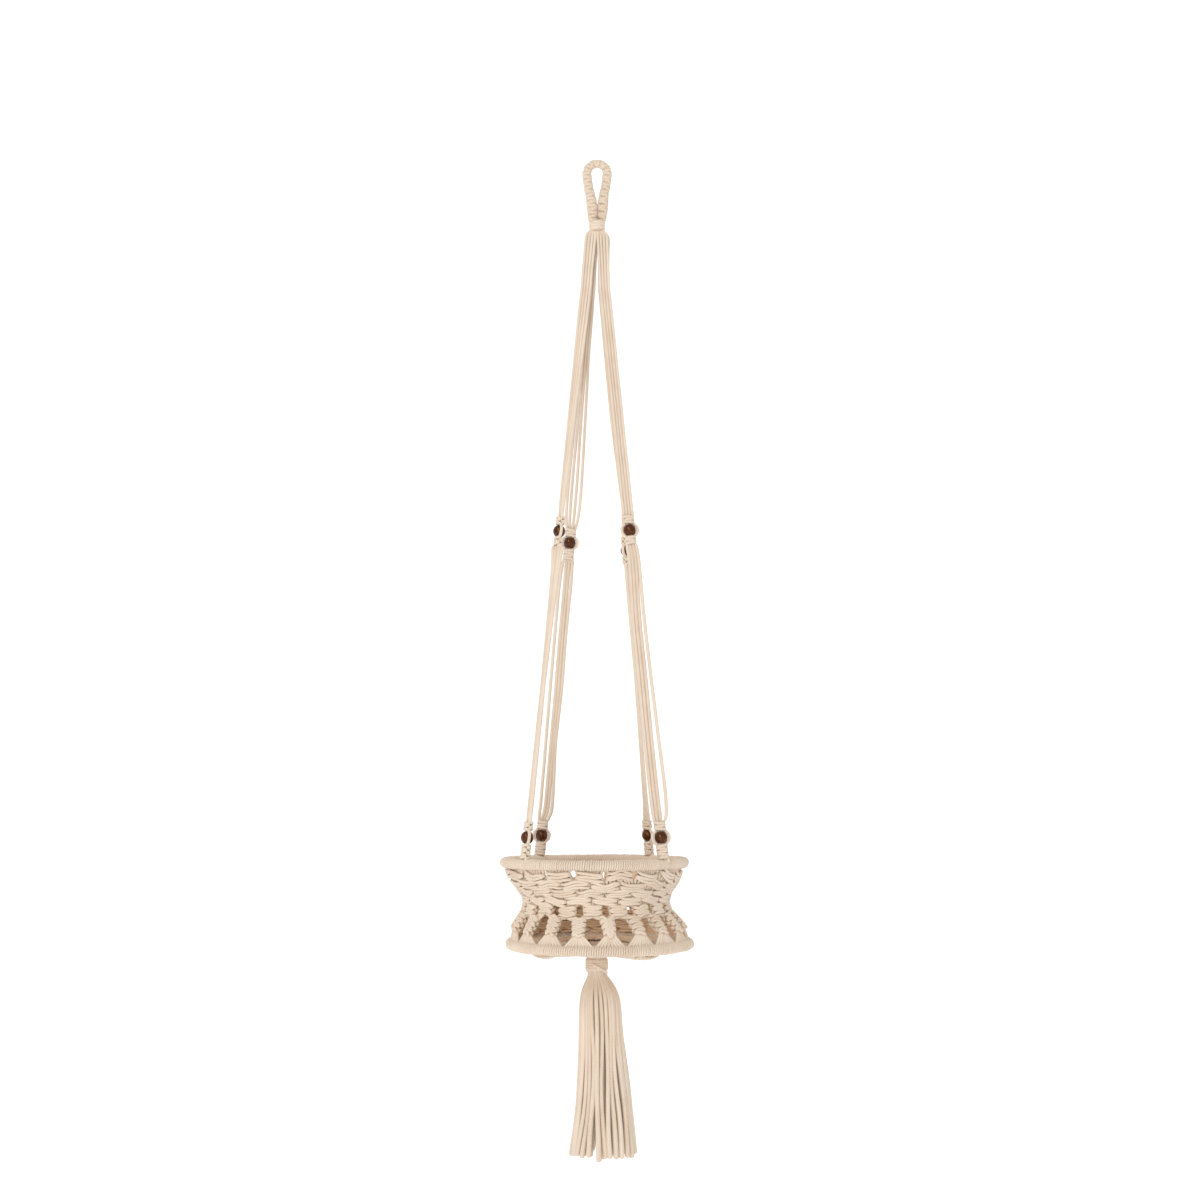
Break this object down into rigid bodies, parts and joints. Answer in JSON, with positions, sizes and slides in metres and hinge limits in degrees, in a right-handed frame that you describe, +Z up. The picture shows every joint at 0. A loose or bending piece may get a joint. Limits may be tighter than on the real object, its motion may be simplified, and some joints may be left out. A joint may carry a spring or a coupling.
{
  "type": "hanging macrame planter",
  "caption": "Hanging plant holder of knotted cotton cord: a loop, a wrapped collar, beaded four-cord legs, a net basket between two wrapped hoops, and a tassel.",
  "frame": {"origin": "where a hook touches the inside top of the hanging loop", "axes": "+Z up along the hanging line, -Y to the front, +X to the right of a person who faces the front"},
  "size_m": [0.2158, 0.2108, 1.1435],
  "materials": {
    "cotton_cord": "matte twisted cotton",
    "bead_wood": "dark stained, glossy varnish",
    "hoop_steel": "plain steel rod, hidden in the wrapping"
  },
  "bodies": {
    "hanging_loop": {"loop_core": "cotton_cord", "loop_cover": "cotton_cord", "loop_throat": "cotton_cord"},
    "collar": {"collar_core": "cotton_cord", "collar_wrap": "cotton_cord"},
    "mid_bead_front_left": {"mid_bead_front_left": "bead_wood"},
    "rim_bead_front_left": {"rim_bead_front_left": "bead_wood"},
    "mid_bead_front_right": {"mid_bead_front_right": "bead_wood"},
    "rim_bead_front_right": {"rim_bead_front_right": "bead_wood"},
    "mid_bead_back_right": {"mid_bead_back_right": "bead_wood"},
    "rim_bead_back_right": {"rim_bead_back_right": "bead_wood"},
    "mid_bead_back_left": {"mid_bead_back_left": "bead_wood"},
    "rim_bead_back_left": {"rim_bead_back_left": "bead_wood"},
    "lower_hoop": {"bottom_hoop": "hoop_steel", "bottom_hoop_wrap": "cotton_cord", "bottom_net": "cotton_cord"},
    "neck": {"neck_core": "cotton_cord", "neck_wrap": "cotton_cord"},
    "tassel": {"tassel": "cotton_cord"},
    "cradle": {"cord_bundle": "cotton_cord", "lower_cords_back_left": "cotton_cord", "lower_cords_back_right": "cotton_cord", "lower_cords_front_left": "cotton_cord", "lower_cords_front_right": "cotton_cord", "mid_bead_cords_back_left": "cotton_cord", "mid_bead_cords_back_right": "cotton_cord", "mid_bead_cords_front_left": "cotton_cord", "mid_bead_cords_front_right": "cotton_cord", "mid_knot_above_back_left": "cotton_cord", "mid_knot_above_back_right": "cotton_cord", "mid_knot_above_front_left": "cotton_cord", "mid_knot_above_front_right": "cotton_cord", "mid_knot_below_back_left": "cotton_cord", "mid_knot_below_back_right": "cotton_cord", "mid_knot_below_front_left": "cotton_cord", "mid_knot_below_front_right": "cotton_cord", "net_lower": "cotton_cord", "net_upper": "cotton_cord", "net_waist": "cotton_cord", "rim_bead_cords_back_left": "cotton_cord", "rim_bead_cords_back_right": "cotton_cord", "rim_bead_cords_front_left": "cotton_cord", "rim_bead_cords_front_right": "cotton_cord", "rim_knot_above_back_left": "cotton_cord", "rim_knot_above_back_right": "cotton_cord", "rim_knot_above_front_left": "cotton_cord", "rim_knot_above_front_right": "cotton_cord", "rim_sinnet_back_left": "cotton_cord", "rim_sinnet_back_right": "cotton_cord", "rim_sinnet_front_left": "cotton_cord", "rim_sinnet_front_right": "cotton_cord", "top_hoop": "hoop_steel", "top_hoop_wrap": "cotton_cord", "upper_cords_back_left": "cotton_cord", "upper_cords_back_right": "cotton_cord", "upper_cords_front_left": "cotton_cord", "upper_cords_front_right": "cotton_cord"}
  },
  "joints": [
    {"name": "loop_sway", "type": "hinge", "parent": "hanging_loop", "child": "collar", "pos_m": [0, 0, -0.061], "axis": [0, 1, 0], "range_deg": [-25, 25]},
    {"name": "collar_nod", "type": "hinge", "parent": "collar", "child": "cradle", "pos_m": [0, 0, -0.0905], "axis": [1, 0, 0], "range_deg": [-25, 25]},
    {"name": "basket_fold", "type": "slide", "parent": "cradle", "child": "lower_hoop", "axis": [0, 0, 1], "range_m": [0, 0.04], "deforming": ["net_upper", "net_waist", "net_lower"]},
    {"name": "neck_sway", "type": "hinge", "parent": "lower_hoop", "child": "neck", "pos_m": [0, 0, -0.917], "axis": [0, 1, 0], "range_deg": [-25, 25]},
    {"name": "tassel_nod", "type": "hinge", "parent": "neck", "child": "tassel", "pos_m": [0, 0, -0.944], "axis": [1, 0, 0], "range_deg": [-25, 25]},
    {"name": "mid_bead_front_left_spin", "type": "hinge", "parent": "cradle", "child": "mid_bead_front_left", "pos_m": [-0.04236, -0.03814, -0.45], "axis": [0.0945, 0.0782, 0.9924], "continuous": true},
    {"name": "rim_bead_front_left_spin", "type": "hinge", "parent": "cradle", "child": "rim_bead_front_left", "pos_m": [-0.07479, -0.06497, -0.7905], "axis": [0.0945, 0.0782, 0.9924], "continuous": true},
    {"name": "mid_bead_front_right_spin", "type": "hinge", "parent": "cradle", "child": "mid_bead_front_right", "pos_m": [0.03716, -0.03346, -0.448], "axis": [-0.0928, 0.0904, 0.9916], "continuous": true},
    {"name": "rim_bead_front_right_spin", "type": "hinge", "parent": "cradle", "child": "rim_bead_front_right", "pos_m": [0.06922, -0.06469, -0.7905], "axis": [-0.0928, 0.0904, 0.9916], "continuous": true},
    {"name": "mid_bead_back_right_spin", "type": "hinge", "parent": "cradle", "child": "mid_bead_back_right", "pos_m": [0.03471, 0.04137, -0.458], "axis": [-0.0744, -0.098, 0.9924], "continuous": true},
    {"name": "rim_bead_back_right_spin", "type": "hinge", "parent": "cradle", "child": "rim_bead_back_right", "pos_m": [0.05963, 0.07419, -0.7905], "axis": [-0.0744, -0.098, 0.9924], "continuous": true},
    {"name": "mid_bead_back_left_spin", "type": "hinge", "parent": "cradle", "child": "mid_bead_back_left", "pos_m": [-0.03214, 0.0383, -0.4495], "axis": [0.0947, -0.1038, 0.9901], "continuous": true},
    {"name": "rim_bead_back_left_spin", "type": "hinge", "parent": "cradle", "child": "rim_bead_back_left", "pos_m": [-0.06476, 0.07405, -0.7905], "axis": [0.0947, -0.1038, 0.9901], "continuous": true}
  ]
}
